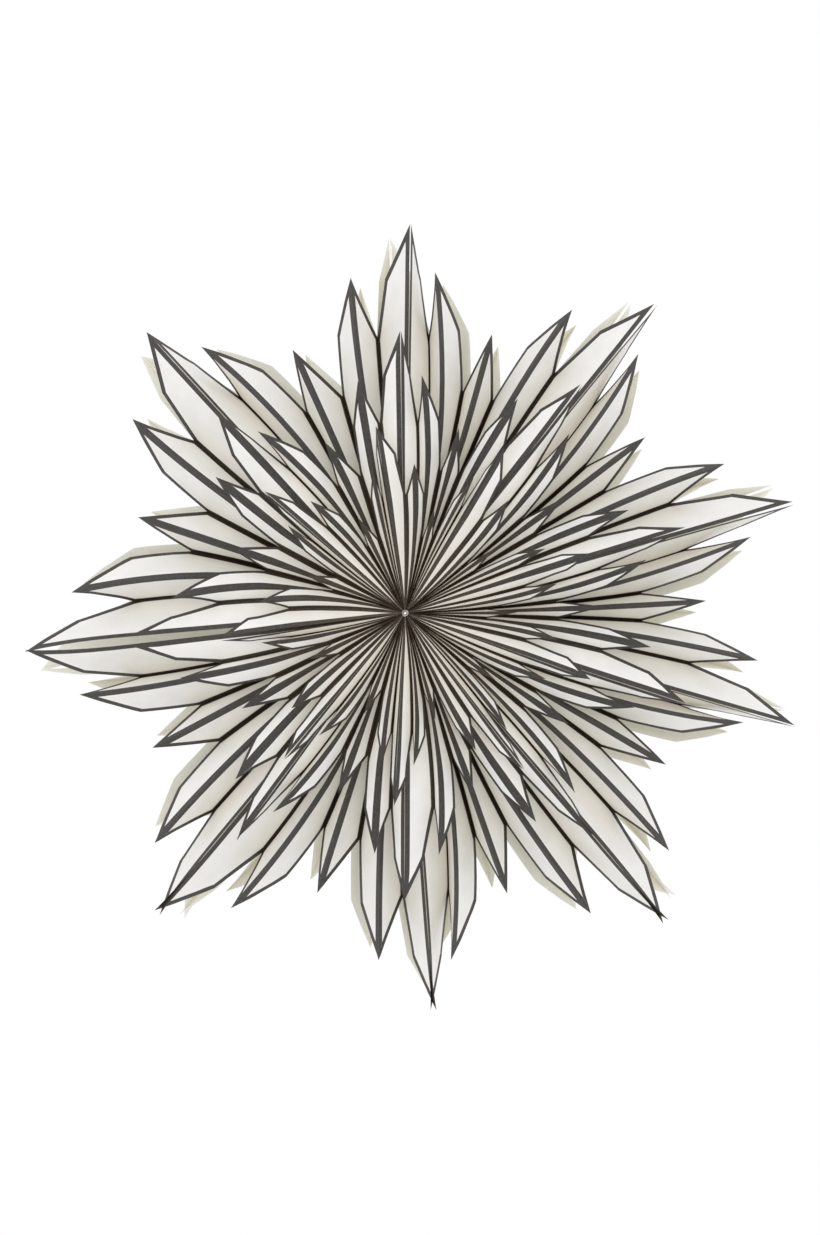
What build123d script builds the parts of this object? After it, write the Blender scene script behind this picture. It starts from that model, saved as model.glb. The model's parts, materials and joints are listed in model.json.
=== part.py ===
from build123d import *
import os
from collections import namedtuple
from math import cos, radians, sin

# Folding paper star in three tiers, front and back alike. Millimetres and degrees.
# The star's axis is Y, the front faces -Y, +Z is up, and the origin is on the axis halfway
# between front and back. Angles are counted from +X towards +Z.

# Each tier is a ring of nine pleated sheets. All folds of a tier start at its apex on the axis:
# every second one is a ridge that ends in a point, and the others are valleys that end in a notch.
# leans are how far the ridges where two sheets meet stand from the seam planes, and twists how far
# the ridges between them stand from their even places, sheet by sheet.
Tier = namedtuple(
    "Tier",
    "name long_tip middle_tip short_tip shoulder_drop notch_drop apex tip_depth valley_depth leans twists",
)

# the large tier's valleys end beside the middle plane, where front and back sheets meet
SHEET_DEPTH = 0.6      # thickness of a sheet measured along the axis, about 0.3 square to a steep panel
MIDDLE_GAP = 0.3       # between the front and the back sheets where they meet
VALLEY_FLOOR = SHEET_DEPTH + MIDDLE_GAP / 2

TIERS = (
    Tier("large", 301, 264, 224, 38, 45, 42, 38, VALLEY_FLOOR,
         leans=(-3.1, -3.6, -0.3, 0.0, 2.4, 0.9, -4.4, -3.3, -4.0),
         twists=(-0.7, -0.3, 0.0, 1.5, -0.8, 1.7, -0.5, -0.2, -0.2)),
    Tier("medium", 216.5, 182.5, 146, 32, 34, 62, 59.5, 45,
         leans=(-1.3, -3.2, -0.3, 3.0, -1.8, 0.9, -4.8, -2.5, -2.8),
         twists=(1.1, -1.0, 2.0, -1.6, -0.4, -2.5, -0.8, -0.6, 0.6)),
    Tier("small", 144, 113.5, 82, 21, 23, 78, 76.5, 67,
         leans=(6.5, 2.8, 2.0, 0.1, -4.9, -2.3, -6.4, -1.6, 4.1),
         twists=(2.2, -1.7, -2.2, -2.9, -5.0, -5.1, -2.4, -1.1, 1.3)),
)

# seam planes between the nine modules, opened unevenly, from the closing seam round to itself
SEAM_ANGLES = (92.3, 136.2, 186.0, 230.4, 271.7, 309.3, 346.9, 379.1, 414.9, 452.3)
MODULES = len(SEAM_ANGLES) - 1
SEAM_SPLIT = 0.16      # between the two halves of a seam ridge
OPEN_SEAM = 2          # this seam stands open
OPEN_SPLIT = 1.6
FOLDED_ANGLE = 1.2     # what each module still takes up once the star is folded flat

MIDDLE_SHARE = 0.18    # middle ridges stand this share of the module away from its seams
VALLEY_SHARES = (0.70, 0.55, 0.42, 0.40)   # each valley's place between the ridges beside it
VALLEY_LEANS = (-0.10, -0.08, 0.10, 0.10, 0.14, 0.0, -0.03, -0.06, -0.08)   # added, module by module
LONG_SHOULDER = 0.68   # where a long point's edge turns, as a share of the panel from its ridge
MIDDLE_SHOULDER = 0.63
BACK_LONG_SHIFT = 3.2  # the back's seam ridges lean this far from the front's
BACK_SHIFT = -2.0      # and its other folds this far the other way
RIDGE_SPACE = 2.0      # least angle between a seam ridge and the ridge beside it

STRETCH = 0.032        # the widely opened side is this share shorter, and the other side longer
STRETCH_ANGLE = 160

CORE_RADIUS = 2.2
CORE_BORE = 1.0
CORE_OVERHANG = 0.5    # core tube beyond the small tier's apex
SHEET_START = CORE_RADIUS + 0.3

BOARD_THICKNESS = 1.0
BOARD_GAP = 0.3        # between the two closed end boards
BOARD_INSET = 12       # end boards stop this far inside the long tips
BOARD_APEX_SPACE = 12  # and this far behind the large tier's apex
BOARD_END_HALF = 10
BOARD_CORNER = 4
BOARD_TAB_HALF = 15    # the last board meets the core in one tab, the first board on both sides of it
BOARD_TAB_SPACE = 1    # between the tabs, and between the folded boards' full widths

MAGNET_RADIUS = 5
MAGNET_FIT = 0.05
MAGNET_STATIONS = (60, 140, 220)

EYELET_STATION = 8     # eyelet centre in from the board's outer end
EYELET_BORE = 2.0
EYELET_WALL = 0.5
EYELET_FIT = 0.05
EYELET_FLANGE = 1.5
EYELET_FLANGE_THICKNESS = 0.4

Fold = namedtuple("Fold", "angle radius depth")


def stretch(angle):
    """How long the points are at this angle, against their nominal length."""
    return 1 - STRETCH * cos(radians(angle - STRETCH_ANGLE))


def split(seam):
    """Angle between the two halves of a seam ridge."""
    return OPEN_SPLIT if seam % MODULES == OPEN_SEAM else SEAM_SPLIT


def middle_offset(tier, side, number):
    """How far a module's first middle ridge stands after its seam, and its last before the next seam."""
    even = MIDDLE_SHARE * (SEAM_ANGLES[number + 1] - SEAM_ANGLES[number])
    shift = tier.twists[number] + (BACK_SHIFT if side > 0 else 0)
    return even + shift, even - shift


def seam_ridge(tier, side, seam):
    """Angle of the ridge where two modules meet, kept clear of the middle ridges on both its sides."""
    number = seam % MODULES
    lean = tier.leans[number] + (BACK_LONG_SHIFT if side > 0 else 0)
    after = middle_offset(tier, side, number)[0] - RIDGE_SPACE
    before = RIDGE_SPACE - middle_offset(tier, side, (seam - 1) % MODULES)[1]
    return SEAM_ANGLES[seam] + max(before, min(lean, after))


def fold_angles(tier, side, number):
    """The nine fold angles of one sheet, seam ridge to seam ridge, ridges and valleys in turn."""
    start, end = SEAM_ANGLES[number], SEAM_ANGLES[number + 1]
    after, before = middle_offset(tier, side, number)
    ridges = (
        seam_ridge(tier, side, number) + split(number) / 2,
        start + after,
        (start + after + end - before) / 2,
        end - before,
        seam_ridge(tier, side, number + 1) - split(number + 1) / 2,
    )
    angles = [ridges[0]]
    for i, share in enumerate(VALLEY_SHARES):
        angles.append(ridges[i] + (share + VALLEY_LEANS[number]) * (ridges[i + 1] - ridges[i]))
        angles.append(ridges[i + 1])
    return angles


def panel_points(tier, side, ridge, valley, shoulder, shoulder_radius):
    """Corners of the flat panel between a ridge and a valley that both start at the apex."""
    apex = Vector(0, side * tier.apex, 0)

    def direction(fold):
        rise = side * (fold.depth - tier.apex) / fold.radius
        return Vector(cos(radians(fold.angle)), rise, sin(radians(fold.angle)))

    def point(share, radius):
        spread = radians(valley.angle - ridge.angle)
        along_ridge = radius * sin(spread * (1 - share)) / sin(spread)
        along_valley = radius * sin(spread * share) / sin(spread)
        return apex + direction(ridge) * along_ridge + direction(valley) * along_valley

    corners = [point(0, SHEET_START), point(0, ridge.radius)]
    if shoulder:
        corners.append(point(shoulder, shoulder_radius))
    return corners + [point(1, valley.radius), point(1, SHEET_START)]


def pleated_sheet(tier, side, number):
    """One module's sheet in one tier: eight flat panels joined at their folds. side is -1 in front."""
    angles = fold_angles(tier, side, number)
    tips = (tier.long_tip, tier.middle_tip, tier.short_tip, tier.middle_tip, tier.long_tip)
    ridges = [Fold(a, tip * stretch(a), tier.tip_depth) for a, tip in zip(angles[0::2], tips)]
    valleys = [
        Fold(a, (min(pair) - tier.notch_drop) * stretch(a), tier.valley_depth)
        for a, pair in zip(angles[1::2], zip(tips, tips[1:]))
    ]
    shoulders = (LONG_SHOULDER, MIDDLE_SHOULDER, 0, MIDDLE_SHOULDER, LONG_SHOULDER)
    with BuildPart() as sheet:
        for i, valley in enumerate(valleys):
            for here, there in ((i, i + 1), (i + 1, i)):
                ridge = ridges[here]
                shoulder = shoulders[here] if tips[here] > tips[there] else 0
                points = panel_points(tier, side, ridge, valley, shoulder, ridge.radius - tier.shoulder_drop)
                across = (points[1] - points[0]).cross(points[-2] - points[0])
                plane = Plane(origin=points[0], x_dir=points[1] - points[0], z_dir=across)
                with BuildSketch(plane):
                    with BuildLine():
                        Polyline(*[plane.to_local_coords(p) for p in points], close=True)
                    make_face()
                extrude(amount=SHEET_DEPTH, dir=(0, -side, 0))
    return sheet.part


def end_board(face, holes, cut_centres, cut_height):
    """One end board, from face to face + thickness along the seam plane's normal.

    Its inner end is cut back to tabs, so that the two boards pass each other on the core when folded.
    """
    reach = TIERS[0].long_tip * stretch(SEAM_ANGLES[0]) - BOARD_INSET
    full_width_start = BOARDS_DEPTH / sin(radians(MODULES * FOLDED_ANGLE)) + BOARD_TAB_SPACE
    with BuildPart() as board:
        with BuildSketch(SEAM_PLANE.offset(face)) as outline:
            with BuildLine():
                Polyline(
                    (SHEET_START, -BOARD_ROOT_HALF),
                    (reach, -BOARD_END_HALF),
                    (reach, BOARD_END_HALF),
                    (SHEET_START, BOARD_ROOT_HALF),
                    close=True,
                )
            make_face()
            fillet(outline.vertices().group_by(Axis.X)[-1], BOARD_CORNER)
            with Locations(*[(0, centre) for centre in cut_centres]):
                Rectangle(2 * full_width_start, cut_height, mode=Mode.SUBTRACT)
            for station, radius in holes:
                with Locations((station, 0)):
                    Circle(radius, mode=Mode.SUBTRACT)
        extrude(amount=BOARD_THICKNESS)
    return board.part


def magnet_set(face):
    """Disc magnets, flush in their board."""
    with BuildPart() as magnets:
        with BuildSketch(SEAM_PLANE.offset(face)):
            with Locations(*[(station, 0) for station in MAGNET_STATIONS]):
                Circle(MAGNET_RADIUS)
        extrude(amount=BOARD_THICKNESS)
    return magnets.part


def write(part, label):
    part.label = label
    export_step(part, f"parts/{label}.step")


os.makedirs("parts", exist_ok=True)

seam_x = Vector(cos(radians(SEAM_ANGLES[0])), 0, sin(radians(SEAM_ANGLES[0])))
SEAM_PLANE = Plane(origin=(0, 0, 0), x_dir=seam_x, z_dir=seam_x.cross(Vector(0, 1, 0)))
EYELET_CENTRE = TIERS[0].long_tip * stretch(SEAM_ANGLES[0]) - BOARD_INSET - EYELET_STATION
EYELET_RADIUS = EYELET_BORE + EYELET_WALL
BOARDS_DEPTH = 2 * BOARD_THICKNESS + BOARD_GAP
BOARD_ROOT_HALF = TIERS[0].apex - BOARD_APEX_SPACE
FIRST_FACE = BOARD_GAP / 2
LAST_FACE = -BOARD_GAP / 2 - BOARD_THICKNESS

for side, side_name in ((-1, "front"), (1, "back")):
    for tier in TIERS:
        for number in range(MODULES):
            write(pleated_sheet(tier, side, number), f"{side_name}_{tier.name}_{number + 1}")

with BuildPart() as core_tube:
    tube_half = TIERS[-1].apex + CORE_OVERHANG
    with BuildSketch(Plane.XZ.offset(-tube_half)):
        Circle(CORE_RADIUS)
        Circle(CORE_BORE, mode=Mode.SUBTRACT)
    extrude(amount=2 * tube_half)
write(core_tube.part, "core_tube")

magnet_holes = [(station, MAGNET_RADIUS + MAGNET_FIT) for station in MAGNET_STATIONS]
eyelet_hole = [(EYELET_CENTRE, EYELET_RADIUS + EYELET_FIT)]
first_cut = 2 * (BOARD_TAB_HALF + BOARD_TAB_SPACE)
last_cut = 2 * BOARD_ROOT_HALF
last_cut_centre = BOARD_TAB_HALF + BOARD_ROOT_HALF
write(end_board(FIRST_FACE, magnet_holes + eyelet_hole, [0], first_cut), "end_board_first")
write(
    end_board(LAST_FACE, magnet_holes + eyelet_hole, [-last_cut_centre, last_cut_centre], last_cut),
    "end_board_last",
)
write(magnet_set(FIRST_FACE), "magnets_first")
write(magnet_set(LAST_FACE), "magnets_last")

# the eyelet's barrel fills the first board's hole and its flange lies on that board's outer face
with BuildPart() as eyelet:
    for face, radius, height in (
        (FIRST_FACE, EYELET_RADIUS, BOARD_THICKNESS),
        (FIRST_FACE + BOARD_THICKNESS, EYELET_RADIUS + EYELET_FLANGE, EYELET_FLANGE_THICKNESS),
    ):
        with BuildSketch(SEAM_PLANE.offset(face)):
            with Locations((EYELET_CENTRE, 0)):
                Circle(radius)
                Circle(EYELET_BORE, mode=Mode.SUBTRACT)
        extrude(amount=height)
write(eyelet.part, "eyelet")
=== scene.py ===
import json
import math
import random

import bpy
import numpy as np
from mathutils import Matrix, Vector


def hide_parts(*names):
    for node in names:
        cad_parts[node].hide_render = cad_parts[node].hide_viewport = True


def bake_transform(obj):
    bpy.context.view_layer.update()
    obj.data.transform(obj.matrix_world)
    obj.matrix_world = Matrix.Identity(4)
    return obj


# A folding paper star in three tiers. Metres. The star's axis is Y, its front faces -Y, +Z is up.
# Every sheet is rebuilt from its CAD solid's corners: the same folds and points, with a printed line
# along every panel's edges, thin slightly bowed paper and points that curl a little.

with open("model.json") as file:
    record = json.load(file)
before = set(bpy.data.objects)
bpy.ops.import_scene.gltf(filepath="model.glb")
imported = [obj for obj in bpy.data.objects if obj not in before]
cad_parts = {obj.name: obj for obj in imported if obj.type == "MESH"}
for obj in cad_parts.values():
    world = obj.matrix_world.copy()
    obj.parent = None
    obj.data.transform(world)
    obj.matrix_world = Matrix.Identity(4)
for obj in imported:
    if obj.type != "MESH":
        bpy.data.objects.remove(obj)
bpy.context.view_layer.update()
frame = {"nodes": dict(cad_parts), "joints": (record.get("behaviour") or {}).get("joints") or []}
rng = random.Random(7)

SIDES = ("front", "back")
TIERS = ("large", "medium", "small")
MODULES = 9
# printed line on each side of a fold, measured on the paper, and along a sheet's outline
FOLD_PRINT = {"large": 0.0060, "medium": 0.0050, "small": 0.0042}
EDGE_PRINT = {"large": 0.0046, "medium": 0.0030, "small": 0.0024}
VALLEY_PRINT = 0.65         # a valley's line against a ridge's
FOLD_PRINT_SHARE = 0.28     # near the axis a fold's line is no wider than this share of its panel
CENTRE_PRINT_SHARE = 0.55   # and this much more on the axis itself
CENTRE_PRINT_FADE = 0.022   # falling off over this distance
SHEET_DEPTH = 0.0006        # paper thickness along the axis, as in the CAD
ROWS = 18                   # evenly spaced rows of faces from the axis to the longest point
COLUMNS = 3                 # face columns across the white of a panel
SAME = 1e-6                 # points closer than this are one point
SAME_RING = 1e-4            # corners this close to the smallest radius are the sheet's inner ends
SAME_LINE = math.radians(0.03)  # corners this close in angle are on one fold
TIP_BEND = 0.002            # how far a point may curl along the axis, either way
TIP_SWAY = 0.35             # and how many degrees round it
PANEL_BOW = (-0.0004, 0.0014)   # how far a panel's middle may bulge


# ---------------------------------------------------------------- materials

WHITE = (1.0, 1.0, 1.0)
NOISE_STOPS = (0.3, 0.7)    # values of a noise that give its two tones in full
SHUT_STOPS = (0.15, 0.85)   # open sky that a deep fold and a free face see; the painted fold shade fades between them
SHUT_SAMPLES = 6
CORE_SHADE = (0.03, 0.13)   # distances from the axis between which the core's shade fades away
GRAIN_SCALE = 1400          # paper fibres per metre
GRAIN_DEPTH = 0.0002
PAINTED_PAPER_GLOW = 0.09           # painted light: a faint emission standing in for light going through thin paper onto its shaded side
METAL_DARK = 0.8            # the darker tone of a metal against its lighter one


def new_material(name, color, roughness):
    """A node material with its Principled shader, and a coordinate node to drive its textures."""
    material = bpy.data.materials.new(name)
    material.use_nodes = True
    nodes = material.node_tree.nodes
    shader = nodes["Principled BSDF"]
    shader.inputs["Base Color"].default_value = (*color, 1)
    shader.inputs["Roughness"].default_value = roughness
    place = nodes.new("ShaderNodeTexCoord")
    return material, shader, place.outputs["Object"]


def noise(material, place, scale, detail):
    """Noise texture output at a scale in features per metre."""
    nodes, links = material.node_tree.nodes, material.node_tree.links
    texture = nodes.new("ShaderNodeTexNoise")
    texture.inputs["Scale"].default_value = scale
    texture.inputs["Detail"].default_value = detail
    links.new(place, texture.inputs["Vector"])
    return texture.outputs["Fac"]


def ramp(material, factor, stops, colors):
    """The colour between two tones, by where a factor lies between two stops."""
    node = material.node_tree.nodes.new("ShaderNodeValToRGB")
    for element, stop, color in zip(node.color_ramp.elements, stops, colors):
        element.position = stop
        element.color = (*color, 1)
    material.node_tree.links.new(factor, node.inputs["Fac"])
    return node.outputs["Color"]


def two_tone(material, shader, factor, dark, light):
    """Colours the shader between two tones by a noise's values."""
    tone = ramp(material, factor, NOISE_STOPS, (dark, light))
    material.node_tree.links.new(tone, shader.inputs["Base Color"])


def multiplied(material, shader, tone):
    """Multiplies the shader's colour by a tone."""
    nodes, links = material.node_tree.nodes, material.node_tree.links
    plain = shader.inputs["Base Color"].links[0].from_socket
    mix = nodes.new("ShaderNodeMixRGB")
    mix.blend_type = "MULTIPLY"
    mix.inputs["Fac"].default_value = 1.0
    links.new(plain, mix.inputs["Color1"])
    links.new(tone, mix.inputs["Color2"])
    links.new(mix.outputs["Color"], shader.inputs["Base Color"])


def grained(material, shader, place, strength):
    """Gives the surface paper's fine fibre grain."""
    nodes, links = material.node_tree.nodes, material.node_tree.links
    bump = nodes.new("ShaderNodeBump")
    bump.inputs["Strength"].default_value = strength
    bump.inputs["Distance"].default_value = GRAIN_DEPTH
    links.new(noise(material, place, GRAIN_SCALE, 3), bump.inputs["Height"])
    links.new(bump.outputs["Normal"], shader.inputs["Normal"])


def painted_fold_shade(material, shader, color, depth):
    """Paints shade into the folds: darkens and warms the colour where the surface is shut in,
    standing in for light bounced between papers.
    """
    shut = material.node_tree.nodes.new("ShaderNodeAmbientOcclusion")
    shut.inputs["Distance"].default_value = depth
    shut.samples = SHUT_SAMPLES
    multiplied(material, shader, ramp(material, shut.outputs["AO"], SHUT_STOPS, (color, WHITE)))


def shaded_core(material, shader, place, color):
    """Paints shade towards the axis: darkens and warms the colour where the pleats crowd together."""
    nodes, links = material.node_tree.nodes, material.node_tree.links
    across = nodes.new("ShaderNodeVectorMath")
    across.operation = "MULTIPLY"
    across.inputs[1].default_value = (1, 0, 1)
    length = nodes.new("ShaderNodeVectorMath")
    length.operation = "LENGTH"
    links.new(place, across.inputs[0])
    links.new(across.outputs["Vector"], length.inputs[0])
    multiplied(material, shader, ramp(material, length.outputs["Value"], CORE_SHADE, (color, WHITE)))


def paper_material(name, dark, light, roughness=0.78):
    """Uncoated paper: faint mottling and a fine fibre grain."""
    material, shader, place = new_material(name, light, roughness)
    shader.inputs["Specular IOR Level"].default_value = 0.25
    two_tone(material, shader, noise(material, place, 60, 6), dark, light)
    # painted shade: the paper darkens and warms in its folds
    painted_fold_shade(material, shader, (0.95, 0.925, 0.86), 0.03)
    # painted shade: the paper darkens and warms towards the axis
    shaded_core(material, shader, place, (0.83, 0.79, 0.72))
    # painted light: the paper glows faintly warm, standing in for light through it
    shader.inputs["Emission Color"].default_value = (1.0, 0.97, 0.89, 1)
    shader.inputs["Emission Strength"].default_value = PAINTED_PAPER_GLOW
    grained(material, shader, place, 0.25)
    return material


def print_material():
    """Dark warm grey ink on the paper, a little patchy."""
    dark, light = (0.045, 0.041, 0.037), (0.075, 0.069, 0.063)
    material, shader, place = new_material("ink", (0.06, 0.055, 0.05), 0.6)
    shader.inputs["Specular IOR Level"].default_value = 0.3
    two_tone(material, shader, noise(material, place, 500, 5), dark, light)
    # painted shade: the ink turns warm brown in the folds
    painted_fold_shade(material, shader, (0.85, 0.65, 0.46), 0.02)
    # painted shade: the ink warms towards the axis
    shaded_core(material, shader, place, (1.0, 0.86, 0.70))
    grained(material, shader, place, 0.2)
    return material


def metal_material(name, color):
    """Plated steel, a little uneven."""
    material, shader, place = new_material(name, color, 0.3)
    shader.inputs["Metallic"].default_value = 1.0
    dark = [c * METAL_DARK for c in color]
    two_tone(material, shader, noise(material, place, 300, 4), dark, color)
    return material


PAPER = paper_material("paper_face", (0.77, 0.757, 0.735), (0.82, 0.81, 0.795))
INSIDE = paper_material("paper_inside", (0.765, 0.765, 0.715), (0.815, 0.815, 0.765))
INK = print_material()
FACE_SLOTS = (PAPER, INK, INSIDE)
FACE, LINE, BACK = range(3)


# ---------------------------------------------------------------- reading the CAD sheets

class Fold:
    """One fold line: its angle about the axis, its unit direction from the apex, its length."""

    def __init__(self, angle, end, apex):
        self.angle = angle
        self.length = np.linalg.norm(end - apex)
        self.direction = (end - apex) / self.length


def angles_near(points, middle):
    """The points' angles about the axis, within half a turn of a middle angle."""
    angle = np.arctan2(points[:, 2], points[:, 0])
    return (angle - middle + math.pi) % (2 * math.pi) - math.pi + middle


def read_sheet(node):
    """A CAD sheet's apex, nine folds in order, panels' shoulder corners and inner radius."""
    points = np.array([v.co for v in frame["nodes"][node].data.vertices], float)
    outer = {}
    for x, y, z in points:
        key = (round(x / SAME), round(z / SAME))
        if key not in outer or abs(y) > abs(outer[key][1]):
            outer[key] = (x, y, z)
    points = np.array(list(outer.values()))
    radius = np.hypot(points[:, 0], points[:, 2])
    angle = angles_near(points, math.atan2(points[:, 2].mean(), points[:, 0].mean()))
    inner = [i for i in np.argsort(angle) if radius[i] < radius.min() + SAME_RING]
    used, ends, folds = set(inner), [], []
    for i in inner:
        on_fold = [j for j in range(len(points)) if abs(angle[j] - angle[i]) < SAME_LINE]
        ends.append(max(on_fold, key=lambda j: radius[j]))
        used.add(ends[-1])
    slope = (points[ends[0]][1] - points[inner[0]][1]) / (radius[ends[0]] - radius[inner[0]])
    apex = np.array([0, points[inner[0]][1] - slope * radius[inner[0]], 0])
    folds = [Fold(angle[j], points[j], apex) for j in ends]
    shoulders = {}
    for j in set(range(len(points))) - used:
        panel = max(i for i in range(len(folds) - 1) if folds[i].angle < angle[j])
        shoulders[panel] = points[j]
    return apex, folds, shoulders, radius.min()


# ---------------------------------------------------------------- one panel

class Panel:
    """The flat panel between a ridge and a valley, in polar coordinates about the apex."""

    def __init__(self, tier, apex, ridge, valley, shoulder):
        self.apex, self.ridge, self.valley = apex, ridge, valley
        self.fold_print = FOLD_PRINT[tier]
        self.spread = math.acos(np.clip(ridge.direction @ valley.direction, -1, 1))
        across = valley.direction - ridge.direction * math.cos(self.spread)
        self.across = across / np.linalg.norm(across)
        corners = [(ridge.length, 0.0)]
        if shoulder is not None:
            offset = shoulder - apex
            corners.append((offset @ ridge.direction, offset @ self.across))
        corners.append((valley.length * math.cos(self.spread), valley.length * math.sin(self.spread)))
        self.corners = [np.array(c) for c in corners]
        self.edges = []
        for a, b in zip(self.corners, self.corners[1:]):
            normal = np.array([b[1] - a[1], a[0] - b[0]])
            normal /= np.linalg.norm(normal)
            self.edges.append((normal, normal @ a - EDGE_PRINT[tier]))

    def outline(self, rho):
        """The panel's angular width at a distance from the apex."""
        if rho <= self.valley.length:
            return self.spread
        for a, b in zip(self.corners, self.corners[1:]):
            if np.linalg.norm(b) - SAME <= rho <= np.linalg.norm(a) + SAME:
                step = b - a
                p, q = a @ step, a @ a - rho * rho
                t = (-p - np.sqrt(max(p * p - (step @ step) * q, 0))) / (step @ step)
                at = a + step * min(max(t, 0), 1)
                return math.atan2(at[1], at[0])
        return 0.0

    def printed(self, rho, width, widening):
        """The angle that a fold's printed line of this width takes up at a distance."""
        angle = FOLD_PRINT_SHARE * self.spread / max(widening, 1)
        if rho * widening > width:
            angle = min(angle, math.asin(width / (rho * widening)))
        return angle + CENTRE_PRINT_SHARE * self.spread * math.exp(-rho / CENTRE_PRINT_FADE)

    def white(self, rho, widening):
        """Where the unprinted middle of the panel begins and ends at a distance, or None."""
        low = self.printed(rho, self.fold_print, widening)
        high = self.spread - self.printed(rho, VALLEY_PRINT * self.fold_print, widening)
        for normal, reach in self.edges:
            if reach < rho:
                high = min(high, math.atan2(normal[1], normal[0]) - math.acos(reach / rho))
        return (low, high) if high > low else None

    def stations(self):
        """Distances at which the outline or the printed line turns."""
        found = [np.linalg.norm(c) for c in self.corners]
        found.append(self.fold_print / math.sin(FOLD_PRINT_SHARE * self.spread))
        side = np.array([-math.sin(self.spread), math.cos(self.spread)])
        lines = [(np.array([0.0, 1.0]), self.fold_print)] + self.edges
        lines.append((side, -VALLEY_PRINT * self.fold_print))
        for (n, d), (m, e) in zip(lines, lines[1:]):
            found.append(np.linalg.norm(np.linalg.solve(np.array([n, m]), np.array([d, e]))))
        return found

    def point(self, rho, alpha):
        flat = math.cos(alpha) * self.ridge.direction + math.sin(alpha) * self.across
        return self.apex + rho * flat


# ---------------------------------------------------------------- one sheet

def turned(point, angle):
    """The point turned about the star's axis, positive from +X towards +Z."""
    c, s = math.cos(angle), math.sin(angle)
    return np.array([point[0] * c - point[2] * s, point[1], point[0] * s + point[2] * c])


# How the folds of a sheet draw together towards the axis, module by module: how much of its way to
# the short ridge each middle ridge gives up, the earlier one and the later one, and how many degrees
# the short ridge itself drifts.
PINCHES = (
    (0.41, 0.82, -2.2), (0.50, 0.96, -2.6), (0.60, 0.45, 0.0), (0.95, 0.42, 0.0), (0.95, 0.62, 1.3),
    (0.64, 0.95, 0.7), (0.73, 0.93, -1.6), (0.63, 0.87, -2.2), (0.80, 0.77, -3.5),
)
PINCH_STRENGTH = {"large": 1.0, "medium": 0.9, "small": 0.6}


def turn_between(start, end):
    """The shorter turn from one angle to another."""
    return (end - start + math.pi) % (2 * math.pi) - math.pi


class Pinch:
    """Turns a sheet's points about the axis so that its middle folds draw together near the core."""

    def __init__(self, folds, pinch):
        self.ridges = [fold.angle for fold in folds[0::2]]
        self.reach = folds[2].length
        self.earlier, self.later, self.drift = pinch[0], pinch[1], math.radians(pinch[2])

    def ridges_at(self, rho):
        """The five ridge angles at a distance from the apex."""
        share = min(max(1 - rho / self.reach, 0), 1)
        first, middle, short, other, last = self.ridges
        centre = short + self.drift * share
        return (
            first,
            centre - (short - middle) * (1 - self.earlier * share),
            centre,
            centre + (other - short) * (1 - self.later * share),
            last,
        )

    def turn(self, angle, rho):
        return np.interp(angle, self.ridges, self.ridges_at(rho)) - angle

    def widening(self, panel, rho):
        """How much wider a panel becomes here."""
        at, half = self.ridges_at(rho), panel // 2
        return (at[half + 1] - at[half]) / (self.ridges[half + 1] - self.ridges[half])


class Curl:
    """How one point of a sheet leaves its true place, from its notches to its tip."""

    def __init__(self, fold, root, bend, sway):
        self.root, self.length, self.bend, self.sway = root, fold.length, bend, sway

    def at(self, rho):
        share = min(max((rho - self.root) / (self.length - self.root), 0), 1)
        return self.bend * share ** 2, self.sway * share ** 2


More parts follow.
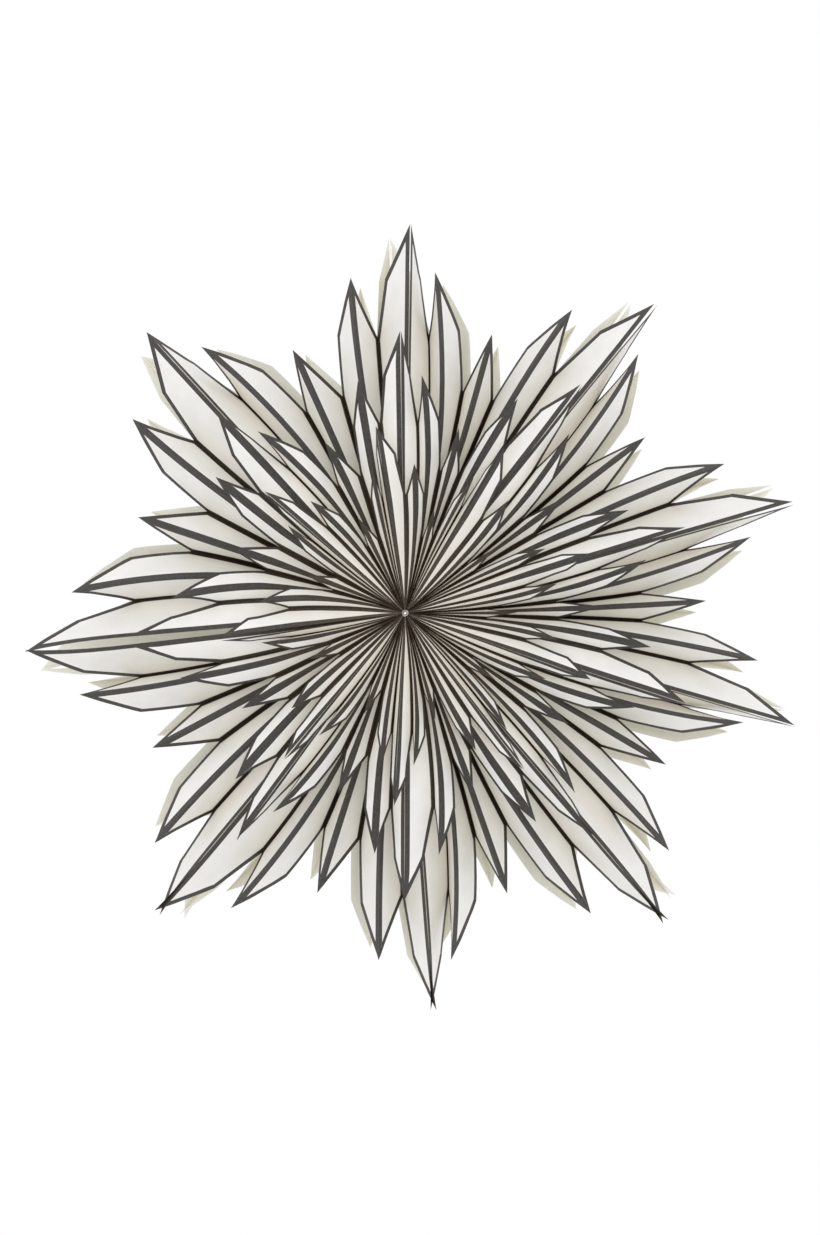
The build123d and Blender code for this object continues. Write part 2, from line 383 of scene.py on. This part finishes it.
def sheet_mesh(name, tier, apex, folds, shoulders, start, side, curls, bows, pinch):
    """The sheet as one closed thin solid with a printed outer face and a plain inner one."""
    panels = []
    for i in range(len(folds) - 1):
        ridge, valley = (folds[i], folds[i + 1]) if i % 2 == 0 else (folds[i + 1], folds[i])
        panels.append(Panel(tier, apex, ridge, valley, shoulders.get(i)))
    first = start / np.hypot(*folds[0].direction[[0, 2]])
    longest = max(fold.length for fold in folds)
    stations = {round(s / SAME) for s in np.linspace(first, longest, ROWS)}
    stations |= {round(s / SAME) for p in panels for s in p.stations() if first < s < longest}
    stations = sorted(stations)
    kept = [stations[0]]
    for s in stations[1:]:
        if s - kept[-1] > 1:
            kept.append(s)
    stations = [s * SAME for s in kept]

    points, index, faces, kinds = [], {}, [], []

    def corner(i, rho, alpha):
        panel = panels[i]
        share = alpha / panel.spread
        bend, sway = curls[i if i % 2 == 0 else i + 1].at(rho)
        bow = bows[i] * math.sin(math.pi * min(share, 1)) * min(rho / longest, 1)
        at = panel.point(rho, alpha)
        angle = panel.ridge.angle + turn_between(panel.ridge.angle, math.atan2(at[2], at[0]))
        at = turned(at, sway * (1 - share) + pinch.turn(angle, rho))
        at[1] += side * (bend * (1 - share) + bow)
        key = tuple(np.round(at / SAME).astype(int))
        if key not in index:
            index[key] = len(points)
            points.append(at)
        return index[key]

    for i, panel in enumerate(panels):
        rows = []
        end = panel.ridge.length
        for rho in [s for s in stations if s < end - SAME] + [end]:
            width = panel.outline(rho) if rho < end else 0.0
            white = panel.white(rho, pinch.widening(i, rho))
            low, high = white if white else (width / 2, width / 2)
            high = min(high, width)
            low = min(low, high)
            across = [low + (high - low) * k / COLUMNS for k in range(1, COLUMNS)]
            alphas = [0, low, *across, high, width]
            rows.append([corner(i, rho, a) for a in alphas])
        for lower, upper in zip(rows, rows[1:]):
            for k in range(len(lower) - 1):
                loop = [lower[k], lower[k + 1], upper[k + 1], upper[k]]
                loop = [v for j, v in enumerate(loop) if v != loop[j - 1]]
                if len(set(loop)) < 3:
                    continue
                if i % 2 == 1:
                    loop.reverse()
                faces.append(loop)
                kinds.append(FACE if 0 < k < len(lower) - 2 else LINE)

    count = len(points)
    thickness = np.array([0, -side * SHEET_DEPTH, 0])
    points += [p + thickness for p in points]
    if side < 0:
        faces = [loop[::-1] for loop in faces]
    walked = {(a, b) for loop in faces for a, b in zip(loop, loop[1:] + loop[:1])}
    rim = [(a, b) for a, b in walked if (b, a) not in walked]
    inner = [[v + count for v in reversed(loop)] for loop in faces]
    walls = [[b, a, a + count, b + count] for a, b in rim]
    kinds = kinds + [BACK] * (len(inner) + len(walls))
    mesh = bpy.data.meshes.new(name)
    mesh.from_pydata([tuple(p) for p in points], [], faces + inner + walls)
    mesh.polygons.foreach_set("material_index", kinds)
    for material in FACE_SLOTS:
        mesh.materials.append(material)
    mesh.validate()
    mesh.update()
    return mesh


# ---------------------------------------------------------------- the fan's opening

joints = {j["child"]: j for j in frame["joints"]}
FOLDED = math.radians(1.2)          # a module's angle once folded
BOARD_ROOM = math.radians(0.6)      # the outermost modules clear the end boards by this
board = np.array([v.co for v in frame["nodes"]["end_board_first"].data.vertices], float).mean(0)
first_seam = math.atan2(board[2], board[0])
seams = [first_seam]
for number in range(1, MODULES + 1):
    seams.append(seams[-1] + math.radians(joints[f"fan_{number}"]["range_deg"][1]) + FOLDED)


def blend_module(piece, number):
    """Bakes the sheet's placement into its mesh and works out each point's share of the way between
    the module's two seams, by angle about the axis.
    """
    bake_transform(piece)
    start, end = seams[number - 1], seams[number]
    co = np.array([v.co for v in piece.data.vertices], float)
    share = (angles_near(co, (start + end) / 2) - start) / (end - start)
    if number == 1:
        share -= (1 - share) * BOARD_ROOM / (end - start)
    if number == MODULES:
        share += share * BOARD_ROOM / (end - start)


# Where two large sheets meet, their long tips do not lie flat on each other: degrees each tip goes
# on past the seam, or stays back from it if negative, seam by seam from the closing one.
TIP_CROSSINGS = (0.0, 0.1, 0.95, 0.6, 0.5, 0.55, 0.0, -0.15, -0.15)
TIP_LIFT = 0.0012           # keeps crossing tips from running into each other


def seam_curl(fold, root, number, last):
    """The curl of a large sheet's long point at its earlier or later seam."""
    crossing = math.radians(TIP_CROSSINGS[(number if last else number - 1) % MODULES])
    way = 1 if last else -1
    return Curl(fold, root, way * TIP_LIFT, way * crossing)


def build_sheet(side_name, tier, number):
    node = f"{side_name}_{tier}_{number}"
    side = -1 if side_name == "front" else 1
    apex, folds, shoulders, start = read_sheet(node)
    curls = {}
    for i in range(0, len(folds), 2):
        notches = [folds[j].length for j in (i - 1, i + 1) if 0 <= j < len(folds)]
        bend = rng.uniform(-TIP_BEND, TIP_BEND)
        sway = math.radians(rng.uniform(-TIP_SWAY, TIP_SWAY))
        curls[i] = Curl(folds[i], min(notches), bend, sway)
        if tier == "large" and i in (0, len(folds) - 1):
            curls[i] = seam_curl(folds[i], min(notches), number, i > 0)
    bows = [rng.uniform(*PANEL_BOW) for _ in range(len(folds) - 1)]
    pinch = Pinch(folds, [PINCH_STRENGTH[tier] * p for p in PINCHES[number - 1]])
    mesh = sheet_mesh(node, tier, apex, folds, shoulders, start, side, curls, bows, pinch)
    piece = bpy.data.objects.new(node + "_paper", mesh)
    bpy.context.scene.collection.objects.link(piece)
    blend_module(piece, number)
    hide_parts(node)


for side_name in SIDES:
    for tier in TIERS:
        for number in range(1, MODULES + 1):
            build_sheet(side_name, tier, number)


# ---------------------------------------------------------------- CAD nodes that stay

def dress(node, material):
    """Gives a CAD node that stays its material."""
    mesh = frame["nodes"][node].data
    mesh.materials.clear()
    mesh.materials.append(material)


CARD = paper_material("card", (0.80, 0.79, 0.76), (0.87, 0.865, 0.84), 0.7)
TUBE = paper_material("core_paper", (0.16, 0.15, 0.135), (0.26, 0.245, 0.22), 0.8)


NICKEL = metal_material("nickel", (0.62, 0.61, 0.59))
for node in ("end_board_first", "end_board_last"):
    dress(node, CARD)
dress("core_tube", TUBE)
for node in ("magnets_first", "magnets_last", "eyelet"):
    dress(node, NICKEL)


# ---------------------------------------------------------------- stage, light and camera

CAMERA_DISTANCE = 2.2
VIEW_HEIGHT = 0.945         # seen at the long points' plane
POINT_PLANE = 0.038
LOOK_AT = (0.0038, -0.0034)


def plane(name, size, location, rotation, color):
    bpy.ops.mesh.primitive_plane_add(size=size, location=location, rotation=rotation)
    obj = bpy.context.object
    obj.name = name
    material, shader, place = new_material(name, color, 0.9)
    two_tone(material, shader, noise(material, place, 3, 2), color, color)
    obj.data.materials.append(material)


plane("floor", 2.2, (0, 0, -0.75), (0, 0, 0), (0.9, 0.9, 0.9))


def area(name, location, size, power):
    """A round soft light aimed at the star."""
    light = bpy.data.lights.new(name, "AREA")
    light.shape = "DISK"
    light.size = size
    light.energy = power
    obj = bpy.data.objects.new(name, light)
    bpy.context.scene.collection.objects.link(obj)
    obj.location = location
    obj.rotation_euler = (-Vector(location)).to_track_quat("-Z", "Y").to_euler()


area("key", (-1.2, -2.2, 1.6), 1.4, 5)
area("front", (0.3, -3.0, 0.3), 1.6, 7)

world = bpy.data.worlds.new("studio")
world.use_nodes = True
world.node_tree.nodes["Background"].inputs["Color"].default_value = (1, 1, 1, 1)
world.node_tree.nodes["Background"].inputs["Strength"].default_value = 1.0
bpy.context.scene.world = world

camera_data = bpy.data.cameras.new("camera")
camera_data.sensor_fit = "VERTICAL"
camera_data.sensor_height = 24
camera_data.lens = camera_data.sensor_height * (CAMERA_DISTANCE - POINT_PLANE) / VIEW_HEIGHT
camera = bpy.data.objects.new("camera", camera_data)
bpy.context.scene.collection.objects.link(camera)
camera.location = (LOOK_AT[0], -CAMERA_DISTANCE, LOOK_AT[1])
camera.rotation_euler = (math.pi / 2, 0, 0)
bpy.context.scene.camera = camera
bpy.context.scene.view_settings.view_transform = "Standard"
